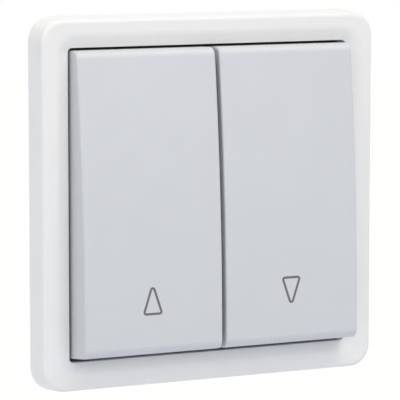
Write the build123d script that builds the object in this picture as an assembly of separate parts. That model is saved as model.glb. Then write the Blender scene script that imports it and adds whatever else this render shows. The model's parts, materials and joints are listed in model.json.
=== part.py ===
from build123d import *
from math import atan2, degrees, hypot, radians, sin, tan
import os

# Flush blind switch with two spring-return rockers in a square cover frame.
# Every piece is modelled lying on the wall: X right, Y up the wall, Z out of the wall in front of it.
# Depths behind the wall are counted from the wall and lie at negative Z.
# The finished pieces are stood upright at the end, so that the front looks along -Y.

# Rocker caps
rocker_width = 32.62
rocker_length = 66.5            # at the edge of the skirt
rocker_split = 0.92             # between the two rockers
rocker_side_gap = 0.6           # between the rockers' flanks and the frame
rocker_end_gap = 0.65           # between the rockers' ends and the frame
rocker_face_height = 11.9       # middle of the face above the wall
rocker_crown_radius = 530.0
rocker_face_pitch = 1.25        # degrees, the arrow end is the thicker one
rocker_end_draft = 6.0          # degrees, the arrow end's wall leans back
rocker_swing = 4.2              # degrees from rest to fully pressed
rocker_end_radius = 2.0
rocker_edge_radius = 0.55
rocker_wall = 1.6
rocker_face_thickness = 1.8
rocker_rib_depth = 2.0
rocker_rib_thickness = 1.2
rocker_rib_spacing = 14.0
skirt_clearance = 0.3           # between the pressed skirt and the support ring
pivot_height = 4.0

# Cover frame
rim_width = 3.88                # outside the dish, above and below the rockers
dish_width = 2.72
dish_depth = 0.88
dish_blend_radius = 3.0
frame_height = 6.3
frame_corner_radius = 7.0
frame_draft = 0.575             # the sides lean in by this much over the height
frame_edge_radius = 1.0
frame_wall = 1.8
frame_skin = 1.5
frame_rib_thickness = 1.2
frame_rib_positions = (-28.0, -14.0, 14.0, 28.0)
opening_wall = 1.5
opening_corner_radius = 1.0
dish_corner_radius = 4.4

# Support ring
ring_thickness = 1.0
ring_margin = 0.1               # beyond the opening wall of the frame
box_screw_spacing = 60.0
box_slot_width = 3.4
box_slot_length = 4.4
box_screw_head_height = 1.7
box_screw_head_radius = 2.8
tab_width = 8.0
tab_height = 2.5
tab_gap = 0.5                   # between the spring tab and the opening wall
tab_bend_radius = 0.8
tab_hook = 0.9
nose_gap = 0.2

# Mechanism cover with its bearings
cover_side = 50.0
cover_corner_radius = 4.0
cover_plate = 1.2
post_length = 6.0
post_thickness = 2.4
centre_post_thickness = 4.4
post_rise = 1.2                 # above the pivot
snap_narrowing = 0.25           # of the bearing mouth on each side
bearing_clearance = 0.1
guide_wall = 1.1
guide_depth = 3.0               # behind the wall

# Actuators
actuator_width = 16.2
actuator_height = 7.0
actuator_underside = 3.6
actuator_shoulder = 13.0
actuator_end_gap = 0.3
lever_arm = 16.0
trunnion_radius = 1.5
trunnion_end_gap = 0.4
stop_gap = 0.03
prong_width = 6.0
prong_thickness = 1.6
prong_offset = 9.0
prong_barb = 0.5
prong_clearance = 0.1

# Plungers, contact bridges and return springs
plunger_x = 9.6
plunger_radius = 2.4
plunger_core_radius = 1.2
plunger_core_gap = 1.0          # between the pressed core and the spring pocket's floor
plunger_clearance = 0.15
touch_gap = 0.02
contact_reach = 5.0             # from the plunger to each of its contacts
contact_radius = 1.2
fixed_button = 0.4
bridge_button = 0.5
bridge_thickness = 0.6
bridge_width = 3.6
spring_radius = 1.9
spring_wire_radius = 0.25
spring_wire_sides = 8           # flats that stand for the round wire
spring_turns = 5
spring_seat_gap = 0.05
spring_pocket = 4.0
spring_pocket_radius = 2.9

# Conductor strips
strip_thickness = 0.8
front_strip_width = 4.0
rear_strip_width = 3.2
strip_bend_radius = 0.8
strip_clearance = 0.15
contact_floor = 5.1             # depth of the ledge that carries the rest contacts
down_link_run = 3.5
up_link_run = 9.5
link_step = 1.0
terminal_plate_y = -7.6

# Base housing and terminals
base_side = 46.0
base_chamfer = 8.0
cavity_margin = 0.4
cavity_corner_radius = 1.0
floor_wall = 1.5
chamber_length = 6.0
chamber_half_width = 2.75
wire_radius = 1.6
clamp_thickness = 0.4
clamp_bend_radius = 0.9
clamp_reach = 9.2
clamp_drop = 3.5
lever_width = 4.0
lever_height = 3.0
lever_offset = 0.5
lever_clearance = 0.15
lever_flange = 0.6
lever_flange_thickness = 0.8
lever_rise = 0.6
lever_slot = 0.8
terminal_cover_thickness = 3.0
terminal_cover_step = 0.25      # its outline lies this far inside the base's
terminal_cover_chamfer = 0.3

# Claws and screws
claw_y = 8.5
claw_screw_x = 20.9
claw_screw_radius = 1.45
claw_screw_length = 15.0
claw_hole_radius = 1.7
claw_thickness = 1.2
claw_width = 8.0
claw_flange_depth = 2.2
claw_arm_depth = 16.0
claw_gap = 0.2
claw_tooth_reach = 2.4
claw_tooth_depth = 3.0
claw_tooth_pitch = 2.0
claw_notch_turn = 45.0          # degrees, the square notches stand on their corners
claw_bend_radius = 0.9
claw_flange_edge = 0.8
claw_side_gap = 0.3
claw_recess_margin = 1.5
claw_head_radius = 2.7
claw_head_height = 1.7
head_clearance = 0.5
screw_radius = 1.1
screw_head_radius = 2.0
screw_head_height = 0.6
screw_clearance = 0.05
housing_screw_length = 9.0
side_screw_place = (20.0, -10.0)
top_screw_place = (12.0, 20.3)
rear_screw_place = (11.0, 14.0)
rear_screw_length = 7.0

overcut = 1.0                   # of a cut beyond the face that it opens

# Sizes that follow from the ones above
half_swing = radians(rocker_swing / 2)
rocker_x = (rocker_split + rocker_width) / 2
opening_width = 2 * rocker_width + rocker_split + 2 * rocker_side_gap
opening_length = rocker_length + 2 * rocker_end_gap
frame_side = max(opening_width, opening_length) + 2 * (dish_width + rim_width)
opening_edge_height = frame_height - dish_depth
groove_ceiling = opening_edge_height + opening_wall * dish_depth / dish_width - frame_skin
ring_width = opening_width + 2 * (opening_wall + ring_margin)
ring_length = opening_length + 2 * (opening_wall + ring_margin)
ring_corner_radius = opening_corner_radius + opening_wall + ring_margin
cover_front = ring_thickness + cover_plate
skirt_level = ring_thickness + skirt_clearance + rocker_length / 2 * sin(half_swing)
actuator_x = centre_post_thickness / 2 + actuator_end_gap + actuator_width / 2
outer_post_x = actuator_x + actuator_width / 2 + actuator_end_gap + post_thickness / 2
foot_radius = pivot_height - cover_front - stop_gap - lever_arm * sin(half_swing)
stroke = 2 * lever_arm * sin(half_swing)
plunger_front = pivot_height + lever_arm * sin(half_swing) - foot_radius - touch_gap
inner_contact_x = plunger_x - contact_reach
outer_contact_x = plunger_x + contact_reach
rest_contact_depth = contact_floor + fixed_button
bridge_depth = rest_contact_depth + touch_gap + bridge_button
bridge_rear = bridge_depth + bridge_thickness
work_contact_depth = bridge_rear + bridge_button + stroke + touch_gap
rear_strip_depth = work_contact_depth + fixed_button
work_floor = rear_strip_depth + strip_thickness
spring_floor = work_floor + spring_pocket
chamber_floor = spring_floor + floor_wall
base_depth = chamber_floor + chamber_length
rear_face = base_depth + terminal_cover_thickness
cavity_half_width = outer_contact_x + front_strip_width / 2 + cavity_margin
guide_radius = plunger_radius + plunger_clearance
collar_radius = guide_radius + guide_wall
cavity_bottom = -lever_arm - collar_radius - cavity_margin
cavity_top = up_link_run + front_strip_width / 2 + cavity_margin
plate_face_y = terminal_plate_y + strip_thickness / 2
wire_y = plate_face_y + wire_radius
lever_y = wire_y + wire_radius + lever_offset + lever_height / 2
clamp_y = plate_face_y + clamp_reach
chamber_top = clamp_y + clamp_thickness / 2
claw_flange_start = claw_screw_x - claw_hole_radius - claw_flange_edge
terminals = {"line": 0.0, "up": -outer_contact_x, "down": outer_contact_x}
sides = {"up": -1, "down": 1}


def slab(sketch, low, high):
    """Extrude a plan sketch between two heights above the wall."""
    return Pos(0, 0, low) * extrude(sketch, high - low)


def block(x_range, y_range, z_range):
    """A box given by its limits along X, Y and Z."""
    sizes = [max(span) - min(span) for span in (x_range, y_range, z_range)]
    middle = [sum(span) / 2 for span in (x_range, y_range, z_range)]
    return Pos(*middle) * Box(*sizes)


def post(x, y, radius, low, high):
    """A round pin or hole standing along Z between two heights."""
    return Pos(x, y, (low + high) / 2) * Cylinder(radius, high - low)


def side_profile(sketch, x, width):
    """Extrude a sketch drawn in Y and Z along X, centred on x."""
    return Pos(x, 0, 0) * extrude(Plane.YZ * sketch, width / 2, both=True)


def bent_strip(points, thickness, width, bend_radius, x):
    """Sheet strip that follows a bent centre line drawn in Y and Z."""
    centre_line = FilletPolyline(*points, radius=bend_radius)
    return side_profile(trace(centre_line, thickness), x, width)


def at_rest(piece):
    """Turn a piece modelled at mid swing to its rest position, arrow end out."""
    pivot = Axis((0, 0, pivot_height), (1, 0, 0))
    return piece.rotate(pivot, -rocker_swing / 2)


def make_cover_frame():
    outline = RectangleRounded(frame_side, frame_side, frame_corner_radius)
    lean = degrees(atan2(frame_draft, frame_height))
    frame = extrude(outline, frame_height, taper=lean)
    frame = fillet(frame.faces().sort_by(Axis.Z)[-1].edges(), frame_edge_radius)

    opening = RectangleRounded(opening_width, opening_length, opening_corner_radius)
    dish_rim = RectangleRounded(
        opening_width + 2 * dish_width, opening_length + 2 * dish_width, dish_corner_radius
    )
    dish = loft([Pos(0, 0, opening_edge_height) * opening, Pos(0, 0, frame_height) * dish_rim])
    frame -= dish
    rim = frame.faces().filter_by(Axis.Z).sort_by(Axis.Z)[-1]
    frame = fillet(rim.inner_wires()[0].edges(), dish_blend_radius)
    frame -= slab(opening, 0, opening_edge_height)

    hollow_side = frame_side - 2 * frame_wall
    hollow = RectangleRounded(hollow_side, hollow_side, frame_corner_radius - frame_wall)
    wall_radius = opening_corner_radius + opening_wall
    wall = RectangleRounded(
        opening_width + 2 * opening_wall, opening_length + 2 * opening_wall, wall_radius
    )
    groove = slab(hollow - wall, ring_thickness, groove_ceiling)
    rib_span = (ring_thickness + tab_gap, groove_ceiling)
    for place in frame_rib_positions:
        across = (place - frame_rib_thickness / 2, place + frame_rib_thickness / 2)
        groove -= block((-frame_side / 2, frame_side / 2), across, rib_span)
        groove -= block(across, (-frame_side / 2, frame_side / 2), rib_span)
    frame -= slab(hollow, 0, ring_thickness)
    frame -= groove
    return frame + snap_noses()


def tab_line():
    """Distance of the spring tab's middle plane from the opening wall's outer face."""
    return tab_gap + ring_thickness / 2


def snap_noses():
    """Noses on the outer wall that catch under the hooks of the ring's spring tabs."""
    top = tab_height - ring_thickness / 2 - nose_gap
    wall_face = frame_side / 2 - frame_wall
    noses = Part()
    for turn, opening in (
        (0, opening_length / 2),
        (90, opening_width / 2),
        (180, opening_length / 2),
        (270, opening_width / 2),
    ):
        tab_face = opening + opening_wall + tab_line() + ring_thickness / 2
        tip = (tab_face + nose_gap, top)
        section = Polyline(
            (wall_face + nose_gap, top), tip, (wall_face + nose_gap, ring_thickness / 2), close=True
        )
        noses += Rot(0, 0, turn) * side_profile(make_face(section), 0, tab_width)
    return noses


def make_support_ring():
    plate = slab(RectangleRounded(ring_width, ring_length, ring_corner_radius), 0, ring_thickness)
    window_middle = (cavity_top + cavity_bottom) / 2
    window = RectangleRounded(2 * cavity_half_width, cavity_top - cavity_bottom, cavity_corner_radius)
    plate -= slab(Pos(0, window_middle) * window, 0, ring_thickness)
    slot = SlotOverall(box_slot_length, box_slot_width)
    reach = box_screw_spacing / 2
    for turn in (0, 90, 180, 270):
        plate -= slab(Rot(0, 0, turn) * Pos(reach, 0) * slot, 0, ring_thickness)
    for x, y in housing_screw_places():
        plate -= post(x, y, screw_radius + screw_clearance, 0, ring_thickness)
    for sign in (-1, 1):
        plate -= post(sign * claw_screw_x, claw_y, claw_hole_radius, 0, ring_thickness)
    return plate + spring_tabs()


def spring_tabs():
    """Tabs bent up from the ring's edges, each with a hooked end for the frame's nose."""
    tabs = Part()
    for turn, opening in (
        (0, opening_length / 2),
        (90, opening_width / 2),
        (180, opening_length / 2),
        (270, opening_width / 2),
    ):
        stand = opening + opening_wall + tab_line()
        middle = ring_thickness / 2
        points = [
            (opening, middle),
            (stand, middle),
            (stand, tab_height),
            (stand + tab_hook, tab_height),
        ]
        tabs += Rot(0, 0, turn) * bent_strip(points, ring_thickness, tab_width, tab_bend_radius, 0)
    return tabs


def rocker_profile(inset, roof):
    """Side profile of a rocker, inset from the ends and lowered from the face."""
    end = rocker_length / 2 - inset

    def face_height(y):
        return rocker_face_height - y * tan(radians(rocker_face_pitch)) - y**2 / (2 * rocker_crown_radius)

    crown = ThreePointArc(
        (-end, face_height(-end) - roof), (0, face_height(0) - roof), (end, face_height(end) - roof)
    )
    walls = Polyline(crown @ 1, (end, skirt_level), (-end, skirt_level), crown @ 0)
    profile = make_face(Curve() + [crown, walls])
    top = 2 * rocker_face_height
    lean = (top - skirt_level) * tan(radians(rocker_end_draft))
    profile -= make_face(Polyline((-end, skirt_level), (-end, top), (lean - end, top), close=True))
    corners = profile.vertices().sort_by(Axis.Y)[-2:]
    return fillet(corners, max(rocker_end_radius - inset, rocker_edge_radius / 2))


def make_rocker(side):
    sign = sides[side]
    x = sign * rocker_x
    inner_face = sign * rocker_split / 2
    outer_face = sign * (rocker_split / 2 + rocker_width)
    cap = side_profile(rocker_profile(0, 0), x, rocker_width)
    flanks = cap.faces().filter_by(Axis.X)
    rims = [e for face in flanks for e in face.edges() if e.center().Z > skirt_level + rocker_edge_radius / 2]
    cap = fillet(rims, rocker_edge_radius)
    hollow = side_profile(
        rocker_profile(rocker_wall, rocker_face_thickness), x, rocker_width - 2 * rocker_wall
    )
    roof_rib = side_profile(
        rocker_profile(rocker_wall, rocker_face_thickness + rocker_rib_depth), x, rocker_width
    )
    ribs = Part()
    for offset in (-rocker_rib_spacing / 2, rocker_rib_spacing / 2):
        rib_x = sign * actuator_x + offset
        half = rocker_rib_thickness / 2
        spine = block(
            (rib_x - half, rib_x + half), (-rocker_length, rocker_length), (0, 2 * rocker_face_height)
        )
        ribs += spine
    cap -= hollow - (ribs - roof_rib)

    relief = cover_side / 2 + rocker_wall
    relief_height = pivot_height + post_rise + bearing_clearance + skirt_clearance
    cap -= block(
        (inner_face - sign * overcut, inner_face + sign * 2 * rocker_wall),
        (-relief, relief),
        (0, relief_height),
    )
    cap -= screw_head_notches(inner_face, outer_face, sign)
    return at_rest(cap + snap_prongs(sign))


def screw_head_notches(inner_face, outer_face, sign):
    """Room in the skirts for the heads of the box screws, at any point of the swing."""
    reach = box_screw_head_radius + skirt_clearance
    travel = rocker_length / 2 * sin(half_swing)
    top = ring_thickness + box_screw_head_height + skirt_clearance
    side_range = (outer_face - sign * 2 * rocker_wall, outer_face + sign * overcut)
    side_notch = block(side_range, (-reach, reach), (0, top))
    end_notches = Part()
    for end in (-1, 1):
        y_range = (end * (rocker_length / 2 - 2 * rocker_wall), end * rocker_length)
        end_notches += block((inner_face - sign * overcut, sign * reach), y_range, (0, top + travel))
    return side_notch + end_notches


def snap_prongs(sign):
    """Two barbed prongs under the cap that snap through the actuator."""
    prongs = Part()
    root = rocker_face_height - rocker_face_thickness / 2
    tip = actuator_underside - 2 * prong_barb
    for end in (-1, 1):
        inner = end * (prong_offset - prong_thickness / 2)
        outer = end * (prong_offset + prong_thickness / 2)
        barb_top = actuator_underside - prong_clearance
        section = Polyline(
            (inner, root),
            (inner, tip),
            (outer, tip),
            (outer + end * prong_barb, barb_top),
            (outer, barb_top),
            (outer, root),
            close=True,
        )
        prongs += side_profile(make_face(section), sign * actuator_x, prong_width)
    return prongs


def make_actuator(side):
    sign = sides[side]
    x = sign * actuator_x
    flank = lever_arm + foot_radius
    section = Polyline(
        (-flank, pivot_height),
        (-actuator_shoulder, actuator_height),
        (actuator_shoulder, actuator_height),
        (flank, pivot_height),
        (lever_arm, actuator_underside),
        (-lever_arm, actuator_underside),
        close=True,
    )
    body = side_profile(make_face(section), x, actuator_width)
    for end in (-1, 1):
        body += Pos(x, end * lever_arm, pivot_height) * Rot(0, 90, 0) * Cylinder(foot_radius, actuator_width)
    inner_end = trunnion_end_gap / 2
    outer_end = outer_post_x + post_thickness / 2
    body += (
        Pos(sign * (inner_end + outer_end) / 2, 0, pivot_height)
        * Rot(0, 90, 0)
        * Cylinder(trunnion_radius, outer_end - inner_end)
    )
    for end in (-1, 1):
        socket_inner = end * (prong_offset - prong_thickness / 2 - prong_clearance)
        socket_outer = end * (prong_offset + prong_thickness / 2 + prong_clearance)
        half = prong_width / 2 + prong_clearance
        body -= block((x - half, x + half), (socket_inner, socket_outer), (0, 2 * actuator_height))
    return at_rest(body)


def housing_screw_places():
    """Places of the screws that hold the cover and the ring on the base."""
    return [(sign * x, y) for x, y in (side_screw_place, top_screw_place) for sign in (-1, 1)]


def bearing_post(x, thickness):
    """Upright with a snap-in seat for the trunnions."""
    seat = trunnion_radius + bearing_clearance
    mouth = trunnion_radius - snap_narrowing
    top = pivot_height + post_rise
    upright = Rectangle(post_length, top - ring_thickness, align=(Align.CENTER, Align.MIN))
    section = Pos(0, ring_thickness) * upright
    section -= Pos(0, pivot_height) * Circle(seat)
    section -= Pos(0, pivot_height + post_rise / 2) * Rectangle(2 * mouth, post_rise)
    return side_profile(section, x, thickness)


def make_mechanism_cover():
    cover = slab(RectangleRounded(cover_side, cover_side, cover_corner_radius), ring_thickness, cover_front)
    cover += bearing_post(0, centre_post_thickness)
    for sign in (-1, 1):
        cover += bearing_post(sign * outer_post_x, post_thickness)
        cover += post(sign * plunger_x, -lever_arm, collar_radius, -guide_depth, ring_thickness)
        cover += press_rib(sign * outer_contact_x)
    cover += press_rib(0)
    for sign in (-1, 1):
        cover -= post(sign * plunger_x, -lever_arm, guide_radius, -2 * guide_depth, cover_front)
        cover -= post(sign * claw_screw_x, claw_y, claw_head_radius + head_clearance, 0, cover_front)
    for x, y in housing_screw_places():
        cover -= post(x, y, screw_radius + screw_clearance, 0, cover_front)
    return cover


def press_rib(x):
    """Rib behind the cover that backs a rest contact."""
    half = rear_strip_width / 2
    depth = contact_floor - strip_thickness
    return block((x - half, x + half), (-lever_arm - half, -lever_arm + half), (-depth, ring_thickness))


def make_plunger(side):
    x = sides[side] * plunger_x
    stem = post(x, -lever_arm, plunger_radius, -bridge_depth, plunger_front)
    core_end = spring_floor - stroke - plunger_core_gap
    return stem + post(x, -lever_arm, plunger_core_radius, -core_end, -bridge_depth)


def make_contact_bridge(side):
    x = sides[side] * plunger_x
    length = 2 * contact_reach + bridge_width
    strip = slab(Pos(x, -lever_arm) * SlotOverall(length, bridge_width), -bridge_rear, -bridge_depth)
    for reach in (-contact_reach, contact_reach):
        strip += post(
            x + reach, -lever_arm, contact_radius, -bridge_rear - bridge_button, -bridge_depth + bridge_button
        )
    return strip - post(x, -lever_arm, plunger_core_radius + touch_gap, -bridge_rear, -bridge_depth)


def make_return_spring(side):
    """Coil of half turns that tilt to one side and then to the other as they climb."""
    x = sides[side] * plunger_x
    low = -spring_floor + spring_seat_gap + spring_wire_radius
    high = -bridge_rear - spring_seat_gap - spring_wire_radius
    half_turns = 2 * spring_turns
    rise = (high - low) / half_turns
    tilt = degrees(atan2(rise, 2 * spring_radius))
    coil_radius = hypot(spring_radius, rise / 2)
    spring = Part()
    for index in range(half_turns):
        way = 1 if index % 2 == 0 else -1
        twist = 2 * way * index * tilt
        section = RegularPolygon(spring_wire_radius, spring_wire_sides, rotation=twist)
        wire = Plane.XZ * Pos(way * coil_radius, 0) * section
        half_turn = Rot(0, way * tilt, 0) * revolve(wire, Axis.Z, 180)
        spring += Pos(x, -lever_arm, low + (index + 0.5) * rise) * half_turn
    return spring


def contact_button(x, face_depth, away):
    """Fixed contact button whose face lies at a depth; away is the side it grows from."""
    ends = sorted((-face_depth, -face_depth - away * fixed_button))
    return post(x, -lever_arm, contact_radius, *ends)


def make_line_busbar():
    half = inner_contact_x + front_strip_width / 2
    y_range = (-lever_arm - front_strip_width / 2, -lever_arm + front_strip_width / 2)
    bar = block((-half, half), y_range, (-contact_floor, -contact_floor + strip_thickness))
    level = -contact_floor + strip_thickness / 2
    points = [(-lever_arm, level), (terminal_plate_y, level), (terminal_plate_y, -base_depth + chamber_gap())]
    bar += bent_strip(points, strip_thickness, rear_strip_width, strip_bend_radius, 0)
    for sign in (-1, 1):
        bar += contact_button(sign * inner_contact_x, rest_contact_depth, -1)
    return bar


def chamber_gap():
    """Room between the end of a terminal plate and the terminal cover."""
    return strip_thickness


def make_link(side):
    """Link from the other side's rest contact to this side's working contact."""
    sign = sides[side]
    run = up_link_run if side == "up" else down_link_run
    start_x = -sign * outer_contact_x
    end_x = sign * inner_contact_x
    half = front_strip_width / 2
    z_range = (-contact_floor, -contact_floor + strip_thickness)
    upright = block((start_x - half, start_x + half), (-lever_arm - half, run + half), z_range)
    far = end_x + sign * rear_strip_width / 2
    link = upright + block((start_x + sign * half, far), (run - half, run + half), z_range)
    front_level = -contact_floor + strip_thickness / 2
    rear_level = -work_floor + strip_thickness / 2
    step = run - half - link_step
    points = [
        (run, front_level),
        (step, front_level),
        (step, rear_level),
        (-lever_arm - rear_strip_width / 2, rear_level),
    ]
    link += bent_strip(points, strip_thickness, rear_strip_width, strip_bend_radius, end_x)
    link += contact_button(start_x, rest_contact_depth, -1)
    return link + contact_button(end_x, work_contact_depth, 1)


def make_load_contact(side):
    x = sides[side] * outer_contact_x
    level = -work_floor + strip_thickness / 2
    points = [
        (-lever_arm - rear_strip_width / 2, level),
        (terminal_plate_y, level),
        (terminal_plate_y, -base_depth + chamber_gap()),
    ]
    strip = bent_strip(points, strip_thickness, rear_strip_width, strip_bend_radius, x)
    return strip + contact_button(x, work_contact_depth, 1)


def base_outline(inset=0):
    """Plan of the base with its cut corners and claw recesses, made smaller all round by an inset."""
    outline = Rectangle(base_side - 2 * inset, base_side - 2 * inset)
    outline = chamfer(outline.vertices(), base_chamfer)
    recess_depth = base_side / 2 - claw_flange_start + claw_side_gap + inset
    recess = Rectangle(2 * recess_depth, claw_width + 2 * (claw_recess_margin + inset))
    for sign in (-1, 1):
        outline -= Pos(sign * base_side / 2, claw_y) * recess
    return outline


def make_base_housing():
    base = slab(base_outline(), -base_depth, 0)
    middle = (cavity_top + cavity_bottom) / 2
    cavity = RectangleRounded(2 * cavity_half_width, cavity_top - cavity_bottom, cavity_corner_radius)
    base -= slab(Pos(0, middle) * cavity, -contact_floor, 0)
    half = rear_strip_width / 2 + strip_clearance
    foot = -lever_arm - half
    depth_range = (-work_floor, -contact_floor)
    for side, sign in sides.items():
        bridge_end = contact_reach + bridge_width / 2 + plunger_clearance
        x_in = sign * (plunger_x - bridge_end)
        x_out = sign * (plunger_x + bridge_end)
        reach = max(plunger_radius, bridge_width / 2) + plunger_clearance
        base -= block((x_in, x_out), (-lever_arm - reach, -lever_arm + reach), depth_range)
        base -= post(sign * plunger_x, -lever_arm, spring_pocket_radius, -spring_floor, -work_floor)
        run = up_link_run if side == "up" else down_link_run
        step = run - front_strip_width / 2 - link_step
        step_end = step + strip_bend_radius
        x = sign * inner_contact_x
        base -= block((x - half, x + half), (foot, step_end), depth_range)
        x = sign * outer_contact_x
        plate_end = plate_face_y + strip_clearance
        base -= block((x - half, x + half), (foot, plate_end), depth_range)
    slot_range = (terminal_plate_y - strip_bend_radius, plate_face_y + strip_clearance)
    chamber_range = (terminal_plate_y - strip_thickness / 2 - touch_gap, chamber_top)
    for x in terminals.values():
        base -= block((x - half, x + half), slot_range, (-chamber_floor, -contact_floor))
        chamber_x = (x - chamber_half_width, x + chamber_half_width)
        base -= block(chamber_x, chamber_range, (-base_depth, -chamber_floor))
    for x, y in housing_screw_places():
        base -= post(x, y, screw_radius + screw_clearance, -housing_screw_length, 0)
    for x, y in rear_screw_places():
        base -= post(x, y, screw_radius + screw_clearance, -base_depth, -base_depth + rear_screw_length)
    return base


def rear_screw_places():
    """Places of the screws that hold the terminal cover on the base."""
    return [(sign * rear_screw_place[0], rear_screw_place[1]) for sign in (-1, 1)]


def make_terminal_cover():
    plate = slab(base_outline(terminal_cover_step), -rear_face, -base_depth)
    plate = chamfer(plate.faces().sort_by(Axis.Z)[0].edges(), terminal_cover_chamfer)
    half_x = lever_width / 2 + lever_clearance
    half_y = lever_height / 2 + lever_clearance
    y_range = (lever_y - half_y, lever_y + half_y)
    for x in terminals.values():
        plate -= post(x, wire_y, wire_radius, -rear_face, -base_depth)
        plate -= block((x - half_x, x + half_x), y_range, (-rear_face, -base_depth))
    for x, y in rear_screw_places():
        plate -= post(x, y, screw_radius + screw_clearance, -rear_face, -base_depth)
    return plate


def clamp_leg_depth(y):
    """Depth of the clamping leg's middle plane at a place along Y."""
    start = base_depth - clamp_bend_radius
    return start - clamp_drop * (clamp_y - y) / clamp_reach


def make_clamp_spring(terminal):
    tip_y = plate_face_y + clamp_thickness
    points = [
        (clamp_y, -chamber_floor - clamp_thickness),
        (clamp_y, -clamp_leg_depth(clamp_y)),
        (tip_y, -clamp_leg_depth(tip_y)),
    ]
    return bent_strip(points, clamp_thickness, rear_strip_width, clamp_bend_radius, terminals[terminal])


def make_release_lever(terminal):
    x = terminals[terminal]
    low = lever_y - lever_height / 2
    high = lever_y + lever_height / 2
    lift = clamp_thickness
    end = -rear_face - lever_rise
    section = Polyline(
        (low, end),
        (high, end),
        (high, -clamp_leg_depth(high) - lift),
        (low, -clamp_leg_depth(low) - lift),
        close=True,
    )
    lever = side_profile(make_face(section), x, lever_width)
    half = lever_width / 2 + lever_flange
    flange_low = -base_depth + touch_gap
    lever += block((x - half, x + half), (low, high), (flange_low, flange_low + lever_flange_thickness))
    groove = lever_slot / 2
    x_range = (x - lever_width, x + lever_width)
    return lever - block(x_range, (lever_y - groove, lever_y + groove), (end, end + groove))


def make_claw(sign):
    """Bent sheet claw with a flange round the claw screw and outward teeth at its end."""
    arm_x = base_side / 2 + claw_gap + claw_thickness / 2
    tooth_depth = claw_arm_depth + claw_tooth_depth
    points = [
        (claw_flange_start, -claw_flange_depth),
        (arm_x, -claw_flange_depth),
        (arm_x, -claw_arm_depth),
        (arm_x + claw_tooth_reach, -tooth_depth),
    ]
    section = trace(FilletPolyline(*points, radius=claw_bend_radius), claw_thickness)
    claw = Pos(0, claw_y, 0) * extrude(Plane.XZ * section, claw_width / 2, both=True)
    claw -= post(claw_screw_x, claw_y, claw_hole_radius, -claw_flange_depth - claw_thickness, 0)
    count = int(claw_width / claw_tooth_pitch)
    for index in range(1, count):
        y = claw_y - claw_width / 2 + index * claw_tooth_pitch
        notch = Pos(arm_x + claw_tooth_reach, y, -tooth_depth) * Rot(0, 0, claw_notch_turn)
        claw -= notch * Box(claw_tooth_pitch / 2, claw_tooth_pitch / 2, 2 * claw_tooth_depth)
    return claw if sign > 0 else mirror(claw, Plane.YZ)


def make_claw_screws():
    screws = Part()
    for sign in (-1, 1):
        x = sign * claw_screw_x
        screws += post(x, claw_y, claw_screw_radius, -claw_screw_length, ring_thickness)
        screws += post(x, claw_y, claw_head_radius, ring_thickness, ring_thickness + claw_head_height)
    return screws


def make_housing_screws():
    screws = Part()
    for x, y in housing_screw_places():
        tip = -housing_screw_length + screw_clearance
        screws += post(x, y, screw_radius, tip, cover_front)
        screws += post(x, y, screw_head_radius, cover_front, cover_front + screw_head_height)
    return screws


def make_terminal_cover_screws():
    screws = Part()
    for x, y in rear_screw_places():
        tip = -base_depth + rear_screw_length - screw_clearance
        screws += post(x, y, screw_radius, -rear_face, tip)
        screws += post(x, y, screw_head_radius, -rear_face - screw_head_height, -rear_face)
    return screws


pieces = {
    "cover_frame": make_cover_frame(),
    "support_ring": make_support_ring(),
    "mechanism_cover": make_mechanism_cover(),
    "base_housing": make_base_housing(),
    "terminal_cover": make_terminal_cover(),
    "line_busbar": make_line_busbar(),
    "left_claw": make_claw(-1),
    "right_claw": make_claw(1),
    "claw_screws": make_claw_screws(),
    "housing_screws": make_housing_screws(),
    "terminal_cover_screws": make_terminal_cover_screws(),
}
for side in sides:
    pieces[side + "_rocker"] = make_rocker(side)
    pieces[side + "_actuator"] = make_actuator(side)
    pieces[side + "_plunger"] = make_plunger(side)
    pieces[side + "_contact_bridge"] = make_contact_bridge(side)
    pieces[side + "_return_spring"] = make_return_spring(side)
    pieces[side + "_link"] = make_link(side)
    pieces[side + "_load_contact"] = make_load_contact(side)
for terminal in terminals:
    pieces[terminal + "_clamp_spring"] = make_clamp_spring(terminal)
    pieces[terminal + "_release_lever"] = make_release_lever(terminal)

os.makedirs("parts", exist_ok=True)
for name, piece in pieces.items():
    export_step(Rot(90, 0, 0) * piece, f"parts/{name}.step")
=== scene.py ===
import json
import math

import bmesh
import bpy
from mathutils import Matrix, Vector
from mathutils.bvhtree import BVHTree


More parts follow.
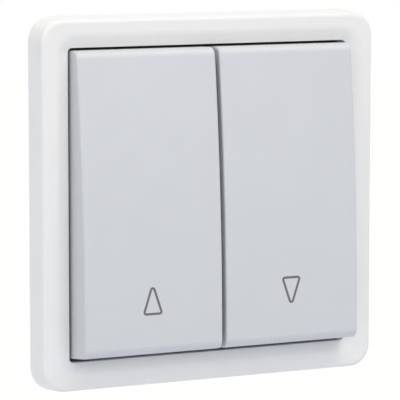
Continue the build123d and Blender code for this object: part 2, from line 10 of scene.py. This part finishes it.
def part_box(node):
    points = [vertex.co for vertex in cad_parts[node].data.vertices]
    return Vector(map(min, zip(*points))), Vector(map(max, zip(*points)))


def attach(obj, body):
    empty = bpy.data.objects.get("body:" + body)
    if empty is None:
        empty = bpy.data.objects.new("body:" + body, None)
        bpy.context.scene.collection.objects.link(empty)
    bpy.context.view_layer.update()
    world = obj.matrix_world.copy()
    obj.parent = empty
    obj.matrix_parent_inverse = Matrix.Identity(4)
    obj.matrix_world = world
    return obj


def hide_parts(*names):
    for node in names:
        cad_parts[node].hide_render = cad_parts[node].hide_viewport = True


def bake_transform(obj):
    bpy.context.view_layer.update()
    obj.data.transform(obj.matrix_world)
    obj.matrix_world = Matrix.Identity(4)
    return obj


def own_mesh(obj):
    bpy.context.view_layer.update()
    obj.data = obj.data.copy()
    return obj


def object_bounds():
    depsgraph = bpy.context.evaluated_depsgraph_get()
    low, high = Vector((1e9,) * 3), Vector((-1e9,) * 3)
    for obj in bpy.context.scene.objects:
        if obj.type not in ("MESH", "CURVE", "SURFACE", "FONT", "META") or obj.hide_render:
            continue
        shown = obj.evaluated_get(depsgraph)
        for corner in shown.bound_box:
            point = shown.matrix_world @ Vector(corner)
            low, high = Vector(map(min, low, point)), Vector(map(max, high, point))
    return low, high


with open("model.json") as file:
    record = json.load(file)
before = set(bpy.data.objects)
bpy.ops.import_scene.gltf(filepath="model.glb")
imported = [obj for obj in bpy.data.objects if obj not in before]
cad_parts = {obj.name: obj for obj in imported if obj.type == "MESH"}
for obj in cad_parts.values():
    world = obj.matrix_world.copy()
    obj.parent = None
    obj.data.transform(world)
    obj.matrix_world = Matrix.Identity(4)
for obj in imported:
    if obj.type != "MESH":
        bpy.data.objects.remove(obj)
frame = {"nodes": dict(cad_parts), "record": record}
cad_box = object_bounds()
nodes = frame["nodes"]

# Units in metres
MM = 0.001
MICRON = 0.000001

# Printed triangles, in millimetres on the rocker faces: side, place across, height of the tip and of the base
ARROWS = (
    ("up", -17.25, -16.78, -23.25),
    ("down", 16.35, -23.85, -17.5),
)
ARROW_HALF_WIDTH = 2.15
ARROW_LINE = 0.52
ARROW_CORNER = 0.42
ARROW_CORNER_STEPS = 6
ARROW_PROUD = 0.015             # ink above the face
ARROW_SUNK = 0.03               # ink below the face
ARROW_SIGHT = -100.0            # place in front of the part from which the face is searched

# Screws, in millimetres: node, places across and up, shank and head radius, head height, head at the front
SCREWS = (
    ("claw_screws", ((-20.9, 8.5), (20.9, 8.5)), 1.45, 2.7, 1.7, True),
    ("housing_screws", ((-20.0, -10.0), (20.0, -10.0), (-12.0, 20.3), (12.0, 20.3)), 1.1, 2.0, 0.6, True),
    ("terminal_cover_screws", ((-11.0, 14.0), (11.0, 14.0)), 1.1, 2.0, 0.6, False),
)
SCREW_SIDES = 32
SCREW_CREASE = 40.0             # edges sharper than this, in degrees, aren't smoothed
THREAD_PITCH = 0.7
THREAD_DEPTH = 0.16             # share of the shank's radius
THREAD_STEPS = 6                # rings for each turn of the thread
TIP_RADIUS = 0.85               # radius of the last turn, as a share of the shank's
HEAD_ROUNDING = 0.35            # share of the head's radius that its rim takes
HEAD_DROP = 0.8                 # most of the head's height that its rim takes
HEAD_STEPS = 5
RECESS_REACH = 0.56             # arms of the cross, as a share of the head's radius
RECESS_WIDTH = 0.2              # width of the arms, as a share of the head's radius
RECESS_TAPER = 0.6              # size of the recess at its floor, as a share of its mouth
RECESS_DEPTH = 0.45             # share of the head's radius

# Cover frame's outer corners, in millimetres: radius of the node, radius in the photograph, and the distances
# from a corner's centre between which the change sets in
CORNER_NODE_RADIUS = 7.0
CORNER_RADIUS = 5.4
CORNER_FADE = (2.9, 4.8)

# Plastics: colour, roughness, grain in repeats per metre, its depth in microns, mottle, gloss level
PLASTICS = {
    "white_plastic": ((0.836, 0.831, 0.825), 0.42, 5200.0, 4, 0.012, 0.3),
    "grey_plastic": ((0.609, 0.624, 0.648), 0.40, 5200.0, 4, 0.012, 0.5),
    "dark_plastic": ((0.028, 0.029, 0.032), 0.55, 3800.0, 10, 0.1, 0.5),
    "base_plastic": ((0.55, 0.53, 0.48), 0.6, 2600.0, 20, 0.05, 0.5),
    "lever_plastic": ((0.76, 0.30, 0.045), 0.45, 3800.0, 10, 0.04, 0.5),
    "plunger_plastic": ((0.72, 0.71, 0.66), 0.5, 3800.0, 10, 0.03, 0.5),
}
PLASTIC_CLOUD = 90.0            # repeats per metre of the mottle
PLASTIC_SHEEN = 420.0           # repeats per metre of the uneven gloss
PLASTIC_SHEEN_RANGE = 0.03      # change of roughness to both sides
GRAIN_DETAIL = 2.0
GRAIN_STRENGTH = 0.6

# Sheet metals: colour, roughness, stretch of the drawn streaks along each axis, their depth in microns
SHEET_METALS = {
    "zinc_steel": ((0.60, 0.62, 0.65), 0.36, (1.0, 1.0, 0.06), 10),
    # black_steel: near-black sheet seen deep in the gaps round the rockers; its colour is painted shade that
    # darkens those gaps
    "black_steel": ((0.045, 0.043, 0.042), 0.5, (1.0, 1.0, 0.06), 10),
    "spring_steel": ((0.58, 0.57, 0.56), 0.28, (1.0, 0.1, 1.0), 6),
    "brass_strip": ((0.78, 0.56, 0.24), 0.3, (1.0, 1.0, 0.08), 8),
}
PLATING_CLOUD = 160.0           # repeats per metre
PLATING_DETAIL = 4.0
PLATING_RANGE = (0.86, 1.06)    # darkest and lightest plating, times the colour
STREAKS = 900.0                 # repeats per metre
STREAK_SHEEN_RANGE = 0.09       # change of roughness to both sides
STREAK_STRENGTH = 0.5

# Printing ink: repeats per metre, darkest and lightest colour, range of roughness
INK_CLOUD = 1500.0
INK_DARK = (0.128, 0.119, 0.113)
INK_LIGHT = (0.152, 0.143, 0.137)
INK_ROUGHNESS = (0.5, 0.62)

NOISE_DETAIL = 3.0
NOISE_RANGE = (0.3, 0.7)        # noise values that reach the ends of a range

# Camera, in metres and degrees, with its lens and sensor in millimetres
CAMERA_DISTANCE = 0.5919
CAMERA_AZIMUTH = 25.972
CAMERA_ELEVATION = 6.822
CAMERA_YAW = 25.988
CAMERA_PITCH = -6.908
CAMERA_LENS = 241.353
CAMERA_SENSOR = 36.0
CAMERA_NEAR = 0.01

# Soft box in front: direction towards it, distance in metres, light on the part, width in degrees
BOX_DIRECTION = (-0.10, -0.92, 0.38)
BOX_DISTANCE = 0.36
BOX_STRENGTH = 0.64
BOX_SPREAD = 30.0

# Far lamps: name, direction towards the lamp, light on the part, and how wide it spreads in degrees
LAMPS = (
    ("key", (0.20, -0.40, 0.90), 1.17, 40.0),
    ("wide", (0.20, -0.60, 0.77), 0.99, 90.0),
    ("side", (-0.90, -0.20, 0.40), 1.12, 80.0),
)
LAMP_TINT = (1.0, 0.983, 0.952)

# Stage: light from the backdrop, and a pale floor in metres
BACKDROP_STRENGTH = 0.68
BACKDROP_TINT = (0.98, 0.98, 1.01)
BACKDROP_EDGE = (-0.1, 0.3)     # the backdrop's light sets in between these directions along Y
FLOOR_DROP = 0.22
FLOOR_RADIUS = 4.0
FLOOR_SIDES = 96
FLOOR_SEEN = (1.0, 1.0, 1.0)    # colour that the camera sees
FLOOR_BOUNCE = (0.74, 0.79, 0.88)   # colour of the light that the floor throws back


def new_material(name):
    """An empty node material with its shader and its object coordinates."""
    material = bpy.data.materials.new(name)
    material.use_nodes = True
    tree = material.node_tree
    shader = tree.nodes["Principled BSDF"]
    place = tree.nodes.new("ShaderNodeTexCoord")
    return material, tree, shader, place.outputs["Object"]


def noise(tree, place, scale, detail=NOISE_DETAIL, stretch=None):
    """A noise texture, scale in repeats per metre, stretched along an axis if asked."""
    vector = place
    if stretch:
        mapping = tree.nodes.new("ShaderNodeMapping")
        mapping.inputs["Scale"].default_value = stretch
        tree.links.new(place, mapping.inputs["Vector"])
        vector = mapping.outputs["Vector"]
    texture = tree.nodes.new("ShaderNodeTexNoise")
    texture.inputs["Scale"].default_value = scale
    texture.inputs["Detail"].default_value = detail
    tree.links.new(vector, texture.inputs["Vector"])
    return texture.outputs["Fac"]


def ramp(tree, value, low, high):
    """Map a noise value to a range of colours."""
    node = tree.nodes.new("ShaderNodeValToRGB")
    for element, position, colour in zip(node.color_ramp.elements, NOISE_RANGE, (low, high)):
        element.position = position
        element.color = (*colour, 1.0)
    tree.links.new(value, node.inputs["Fac"])
    return node.outputs["Color"]


def spread(tree, value, low, high):
    """Map a noise value to a range of numbers."""
    node = tree.nodes.new("ShaderNodeMapRange")
    node.inputs["From Min"].default_value = NOISE_RANGE[0]
    node.inputs["From Max"].default_value = NOISE_RANGE[1]
    node.inputs["To Min"].default_value = low
    node.inputs["To Max"].default_value = high
    tree.links.new(value, node.inputs["Value"])
    return node.outputs["Result"]


def bump(tree, shader, value, strength, depth):
    """Roughen the surface by a noise value, depth in microns."""
    node = tree.nodes.new("ShaderNodeBump")
    node.inputs["Strength"].default_value = strength
    node.inputs["Distance"].default_value = depth * MICRON
    tree.links.new(value, node.inputs["Height"])
    tree.links.new(node.outputs["Normal"], shader.inputs["Normal"])


def shade(colour, factor):
    """A colour made darker or lighter."""
    return tuple(channel * factor for channel in colour)


def plastic(name, colour, roughness, grain, depth, mottle, gloss_level):
    """Moulded plastic: faint mottle in the colour, uneven gloss and a fine moulded grain."""
    material, tree, shader, place = new_material(name)
    cloud = noise(tree, place, PLASTIC_CLOUD)
    tint = ramp(tree, cloud, shade(colour, 1 - mottle), shade(colour, 1 + mottle))
    tree.links.new(tint, shader.inputs["Base Color"])
    shader.inputs["Specular IOR Level"].default_value = gloss_level
    sheen = noise(tree, place, PLASTIC_SHEEN)
    gloss = spread(tree, sheen, roughness - PLASTIC_SHEEN_RANGE, roughness + PLASTIC_SHEEN_RANGE)
    tree.links.new(gloss, shader.inputs["Roughness"])
    bump(tree, shader, noise(tree, place, grain, GRAIN_DETAIL), GRAIN_STRENGTH, depth)
    return material


def sheet_metal(name, colour, roughness, stretch, depth):
    """Rolled sheet metal: drawn streaks in gloss and relief, and a cloudy plating."""
    material, tree, shader, place = new_material(name)
    cloud = noise(tree, place, PLATING_CLOUD, PLATING_DETAIL)
    tint = ramp(tree, cloud, shade(colour, PLATING_RANGE[0]), shade(colour, PLATING_RANGE[1]))
    tree.links.new(tint, shader.inputs["Base Color"])
    shader.inputs["Metallic"].default_value = 1.0
    streaks = noise(tree, place, STREAKS, stretch=stretch)
    gloss = spread(tree, streaks, roughness - STREAK_SHEEN_RANGE, roughness + STREAK_SHEEN_RANGE)
    tree.links.new(gloss, shader.inputs["Roughness"])
    bump(tree, shader, streaks, STREAK_STRENGTH, depth)
    return material


def make_ink():
    """Grey printing ink: slightly uneven in colour and gloss."""
    material, tree, shader, place = new_material("print_ink")
    cloud = noise(tree, place, INK_CLOUD)
    tree.links.new(ramp(tree, cloud, INK_DARK, INK_LIGHT), shader.inputs["Base Color"])
    tree.links.new(spread(tree, cloud, *INK_ROUGHNESS), shader.inputs["Roughness"])
    return material


def dress_nodes():
    """Give each CAD node the material of its slot in the record."""
    for row in frame["record"]["subparts"]:
        node = nodes[row["node"]]
        node.data.materials.clear()
        node.data.materials.append(materials[row["material_slot"]])


def mesh_piece(name, mesh, material):
    """Turn a finished bmesh into a piece of the scene."""
    bmesh.ops.recalc_face_normals(mesh, faces=mesh.faces)
    data = bpy.data.meshes.new(name)
    mesh.to_mesh(data)
    mesh.free()
    data.materials.append(material)
    piece = bpy.data.objects.new(name, data)
    bpy.context.scene.collection.objects.link(piece)
    return piece


def join_rings(mesh, lower, upper):
    """Faces between two rings with as many points."""
    count = len(lower)
    for i in range(count):
        j = (i + 1) % count
        mesh.faces.new((lower[i], lower[j], upper[j], upper[i]))


def rounded_loop(corners, offset, radius):
    """Points round a triangle with round corners; a positive offset widens it."""
    count = len(corners)
    area = sum(
        corners[i][0] * corners[(i + 1) % count][1] - corners[(i + 1) % count][0] * corners[i][1]
        for i in range(count)
    )
    if area < 0:
        corners = corners[::-1]
    reach = radius + offset
    points = []
    for i in range(count):
        here = Vector(corners[i])
        before = (Vector(corners[i - 1]) - here).normalized()
        after = (Vector(corners[(i + 1) % count]) - here).normalized()
        half = before.angle(after) / 2
        centre = here + (before + after).normalized() * (radius / math.sin(half))
        start = math.atan2(before.x, -before.y)
        turn = math.pi - 2 * half
        for step in range(ARROW_CORNER_STEPS + 1):
            angle = start + turn * step / ARROW_CORNER_STEPS
            points.append((centre.x + reach * math.cos(angle), centre.y + reach * math.sin(angle)))
    return points


def make_arrow(side, across, tip, base):
    """Printed outline of a triangle that follows the rocker's crowned face."""
    corners = [(across - ARROW_HALF_WIDTH, base), (across + ARROW_HALF_WIDTH, base), (across, tip)]
    rocker = nodes[side + "_rocker"].data
    surface = BVHTree.FromPolygons(
        [v.co.copy() for v in rocker.vertices], [p.vertices[:] for p in rocker.polygons]
    )

    def on_face(point, height):
        start = Vector((point[0], ARROW_SIGHT, point[1])) * MM
        spot, normal = surface.ray_cast(start, Vector((0, 1, 0)))[:2]
        return spot + normal * height * MM

    outer = rounded_loop(corners, ARROW_LINE / 2, ARROW_CORNER)
    inner = rounded_loop(corners, -ARROW_LINE / 2, ARROW_CORNER)
    section = ((outer, ARROW_PROUD), (inner, ARROW_PROUD), (inner, -ARROW_SUNK), (outer, -ARROW_SUNK))
    mesh = bmesh.new()
    rings = [[mesh.verts.new(on_face(point, height)) for point in loop] for loop, height in section]
    for this, following in zip(rings, rings[1:] + rings[:1]):
        join_rings(mesh, this, following)
    piece = mesh_piece(side + "_arrow_print", mesh, ink)
    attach(piece, side + "_key")


def ring(mesh, place, radius, level):
    """A ring of points round a screw; radius is a number or a rule for each angle."""
    points = []
    for i in range(SCREW_SIDES):
        angle = 2 * math.pi * i / SCREW_SIDES
        reach = radius(angle) if callable(radius) else radius
        points.append(mesh.verts.new(place(reach * math.cos(angle), reach * math.sin(angle), level)))
    return points


def thread_radius(radius, level, length):
    """Rule for a thread's radius at a level: ridges that climb with the angle and die out at both ends."""
    fade = min(1.0, -level / THREAD_PITCH, (level + length) / THREAD_PITCH)
    crest = radius if level + length > THREAD_PITCH else radius * TIP_RADIUS

    def at(angle):
        phase = (level / THREAD_PITCH - angle / (2 * math.pi)) % 1.0
        groove = abs(2 * phase - 1)
        return crest * (1 - THREAD_DEPTH * groove * fade)

    return at


def cross_points(reach, half_width):
    """Outline of a cross recess."""
    corner = [(reach, -half_width), (reach, half_width), (half_width, half_width)]
    points = []
    for quarter in range(4):
        for x, y in corner:
            for _ in range(quarter):
                x, y = -y, x
            points.append((x, y))
    return points


def loop_edges(mesh, loop):
    """Edges between the neighbours in a closed loop of points."""
    return [mesh.edges.get((loop[i - 1], loop[i])) for i in range(len(loop))]


def add_screw(mesh, place, radius, head_radius, head_height, length):
    """One pan head screw: threaded shank below the seat, rounded head with a cross recess above it."""
    count = round(length / THREAD_PITCH * THREAD_STEPS)
    levels = [-length + length * i / count for i in range(count + 1)]
    rings = [ring(mesh, place, thread_radius(radius, level, length), level) for level in levels]
    mesh.faces.new(rings[0])
    rim = head_radius * HEAD_ROUNDING
    drop = min(rim, head_height * HEAD_DROP)
    rings.append(ring(mesh, place, head_radius, 0))
    for step in range(HEAD_STEPS + 1):
        angle = math.pi / 2 * step / HEAD_STEPS
        reach = head_radius - rim + rim * math.cos(angle)
        rings.append(ring(mesh, place, reach, head_height - drop + drop * math.sin(angle)))
    for lower, upper in zip(rings, rings[1:]):
        join_rings(mesh, lower, upper)
    arm = head_radius * RECESS_REACH
    half_width = head_radius * RECESS_WIDTH / 2
    depth = head_height - head_radius * RECESS_DEPTH
    mouth_points = cross_points(arm, half_width)
    floor_points = cross_points(arm * RECESS_TAPER, half_width * RECESS_TAPER)
    mouth = [mesh.verts.new(place(x, y, head_height)) for x, y in mouth_points]
    floor = [mesh.verts.new(place(x, y, depth)) for x, y in floor_points]
    join_rings(mesh, floor, mouth)
    mesh.faces.new(floor)
    edges = loop_edges(mesh, rings[-1]) + loop_edges(mesh, mouth)
    bmesh.ops.triangle_fill(mesh, use_beauty=True, edges=edges)


def screw_place(across, up, seat, side):
    """Rule that puts a point of a screw into the scene; side is 1 for a head in front, -1 for one behind."""

    def place(right, above, level):
        return Vector((across + side * right, seat - side * level, up + above)) * MM

    return place


def make_screws(node, places, radius, head_radius, head_height, front):
    """All screws of one node as one piece, heads towards the room or towards the back."""
    low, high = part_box(node)
    length = (high[1] - low[1]) / MM - head_height
    if front:
        side = 1
        seat = low[1] / MM + head_height
    else:
        side = -1
        seat = high[1] / MM - head_height
    mesh = bmesh.new()
    for across, up in places:
        add_screw(mesh, screw_place(across, up, seat, side), radius, head_radius, head_height, length)
    piece = mesh_piece(node + "_detail", mesh, materials["zinc_steel"])
    piece.data.shade_smooth()
    piece.data.set_sharp_from_angle(angle=math.radians(SCREW_CREASE))
    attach(piece, "housing")
    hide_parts(node)


def copy_node(node, name):
    """A piece with the form of a node, which is free to change its shape."""
    piece = bpy.data.objects.new(name, nodes[node].data.copy())
    bpy.context.scene.collection.objects.link(piece)
    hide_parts(node)
    return piece


def smooth_share(value, start, end):
    """0 before the start, 1 after the end and a smooth change between them."""
    share = min(max((value - start) / (end - start), 0.0), 1.0)
    return share * share * (3 - 2 * share)


def corner_growth(angle):
    """How far the tighter corner lies outside the node's, in millimetres, in a direction from its centre."""
    inset = CORNER_NODE_RADIUS - CORNER_RADIUS
    turn = min(angle, math.pi / 2 - angle)
    if math.tan(turn) < inset / CORNER_NODE_RADIUS:
        return CORNER_NODE_RADIUS / math.cos(turn) - CORNER_NODE_RADIUS
    along = inset * (math.cos(turn) + math.sin(turn))
    return along + math.sqrt(along ** 2 - 2 * inset ** 2 + CORNER_RADIUS ** 2) - CORNER_NODE_RADIUS


def make_frame():
    """Cover frame with the photograph's tighter outer corners."""
    piece = copy_node("cover_frame", "cover_frame_moulding")
    centre = cad_box[1][0] / MM - CORNER_NODE_RADIUS
    for vertex in piece.data.vertices:
        across = abs(vertex.co.x) / MM - centre
        up = abs(vertex.co.z) / MM - centre
        if across > 0 and up > 0:
            angle = math.atan2(up, across)
            share = smooth_share(math.hypot(across, up), *CORNER_FADE)
            growth = corner_growth(angle) * share * MM
            vertex.co.x += math.copysign(growth * math.cos(angle), vertex.co.x)
            vertex.co.z += math.copysign(growth * math.sin(angle), vertex.co.z)
    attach(piece, "housing")


def make_return_spring(side):
    """Copy of a return spring's coil, as a piece of its own on the housing."""
    node = side + "_return_spring"
    coil = copy_node(node, node + "_coil")
    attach(coil, "housing")
    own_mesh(coil)


def make_clamp_spring(terminal):
    """Copy of a terminal's bent clamp spring strip, with its place baked into its mesh."""
    node = terminal + "_clamp_spring"
    strip = copy_node(node, node + "_strip")
    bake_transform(strip)


def seen_directly(tree):
    """A shader value: 1 for rays that show a surface to the camera, also through gloss and glass, else 0."""
    path = tree.nodes.new("ShaderNodeLightPath")
    seen = path.outputs["Is Camera Ray"]
    for ray in ("Is Glossy Ray", "Is Transmission Ray"):
        either = tree.nodes.new("ShaderNodeMath")
        either.operation = "MAXIMUM"
        tree.links.new(seen, either.inputs[0])
        tree.links.new(path.outputs[ray], either.inputs[1])
        seen = either.outputs[0]
    return seen


def make_floor():
    """Pale floor well below the part, which hangs free as on its wall."""
    mesh = bmesh.new()
    bmesh.ops.create_circle(mesh, cap_ends=True, radius=FLOOR_RADIUS, segments=FLOOR_SIDES)
    data = bpy.data.meshes.new("floor")
    mesh.to_mesh(data)
    mesh.free()
    floor = bpy.data.objects.new("floor", data)
    floor.location = (0, 0, cad_box[0][2] - FLOOR_DROP)
    bpy.context.scene.collection.objects.link(floor)
    material, tree, shader = new_material("floor_paint")[:3]
    mix = tree.nodes.new("ShaderNodeMix")
    mix.data_type = "RGBA"
    mix.inputs["A"].default_value = (*FLOOR_BOUNCE, 1)
    mix.inputs["B"].default_value = (*FLOOR_SEEN, 1)
    tree.links.new(seen_directly(tree), mix.inputs["Factor"])
    tree.links.new(mix.outputs["Result"], shader.inputs["Base Color"])
    shader.inputs["Roughness"].default_value = 1.0
    shader.inputs["Specular IOR Level"].default_value = 0.0
    data.materials.append(material)


def make_world():
    """White surroundings that light the part only from the backdrop behind it."""
    world = bpy.data.worlds.new("studio")
    bpy.context.scene.world = world
    world.use_nodes = True
    tree = world.node_tree
    tree.nodes.clear()
    direction = tree.nodes.new("ShaderNodeTexCoord")
    axes = tree.nodes.new("ShaderNodeSeparateXYZ")
    tree.links.new(direction.outputs["Generated"], axes.inputs["Vector"])
    fade = tree.nodes.new("ShaderNodeMapRange")
    fade.interpolation_type = "SMOOTHSTEP"
    fade.inputs["From Min"].default_value = BACKDROP_EDGE[0]
    fade.inputs["From Max"].default_value = BACKDROP_EDGE[1]
    fade.inputs["To Min"].default_value = 0.0
    fade.inputs["To Max"].default_value = BACKDROP_STRENGTH
    tree.links.new(axes.outputs["Y"], fade.inputs["Value"])
    light = tree.nodes.new("ShaderNodeBackground")
    light.inputs["Color"].default_value = (*BACKDROP_TINT, 1)
    tree.links.new(fade.outputs["Result"], light.inputs["Strength"])
    white = tree.nodes.new("ShaderNodeBackground")
    white.inputs["Color"].default_value = (1, 1, 1, 1)
    white.inputs["Strength"].default_value = 1.0
    mix = tree.nodes.new("ShaderNodeMixShader")
    tree.links.new(seen_directly(tree), mix.inputs[0])
    tree.links.new(light.outputs[0], mix.inputs[1])
    tree.links.new(white.outputs[0], mix.inputs[2])
    output = tree.nodes.new("ShaderNodeOutputWorld")
    tree.links.new(mix.outputs[0], output.inputs["Surface"])


def make_soft_box():
    """Round soft box close to the part, whose light falls off a little down the front."""
    half = math.radians(BOX_SPREAD / 2)
    data = bpy.data.lights.new("soft_box", "AREA")
    data.shape = "DISK"
    data.size = 2 * BOX_DISTANCE * math.tan(half)
    data.energy = BOX_STRENGTH * math.pi * (BOX_DISTANCE / math.cos(half)) ** 2
    data.color = LAMP_TINT
    lamp = bpy.data.objects.new("soft_box", data)
    lamp.location = Vector(BOX_DIRECTION).normalized() * BOX_DISTANCE
    lamp.rotation_euler = Vector(BOX_DIRECTION).to_track_quat("Z", "Y").to_euler()
    lamp.visible_camera = False
    bpy.context.scene.collection.objects.link(lamp)


def make_lamp(name, direction, strength, spread_angle):
    """Broad soft lamp far away in one direction."""
    data = bpy.data.lights.new(name, "SUN")
    data.energy = strength
    data.color = LAMP_TINT
    data.angle = math.radians(spread_angle)
    lamp = bpy.data.objects.new(name, data)
    lamp.rotation_euler = Vector(direction).to_track_quat("Z", "Y").to_euler()
    bpy.context.scene.collection.objects.link(lamp)


def make_camera():
    """Camera of the photograph: in front of the part, on the left and slightly above it."""
    azimuth = math.radians(CAMERA_AZIMUTH)
    elevation = math.radians(CAMERA_ELEVATION)
    yaw = math.radians(CAMERA_YAW)
    pitch = math.radians(CAMERA_PITCH)
    place = CAMERA_DISTANCE * Vector((
        -math.sin(azimuth) * math.cos(elevation),
        -math.cos(azimuth) * math.cos(elevation),
        math.sin(elevation),
    ))
    forward = Vector((
        math.sin(yaw) * math.cos(pitch),
        math.cos(yaw) * math.cos(pitch),
        math.sin(pitch),
    ))
    data = bpy.data.cameras.new("camera")
    data.lens = CAMERA_LENS
    data.sensor_width = CAMERA_SENSOR
    data.clip_start = CAMERA_NEAR
    camera = bpy.data.objects.new("camera", data)
    turn = forward.to_track_quat("-Z", "Y").to_matrix().to_4x4()
    camera.matrix_world = Matrix.Translation(place) @ turn
    bpy.context.scene.collection.objects.link(camera)
    bpy.context.scene.camera = camera


# Finishes of the CAD nodes
materials = {name: plastic(name, *row) for name, row in PLASTICS.items()}
materials.update({name: sheet_metal(name, *row) for name, row in SHEET_METALS.items()})
ink = make_ink()
dress_nodes()

# Pieces
for arrow_row in ARROWS:
    make_arrow(*arrow_row)
for screw_row in SCREWS:
    make_screws(*screw_row)
make_frame()
for key_side in ("up", "down"):
    make_return_spring(key_side)
for terminal_name in ("line", "up", "down"):
    make_clamp_spring(terminal_name)

# Studio
make_floor()
make_world()
make_soft_box()
for lamp_row in LAMPS:
    make_lamp(*lamp_row)
make_camera()
bpy.context.scene.view_settings.view_transform = "Standard"
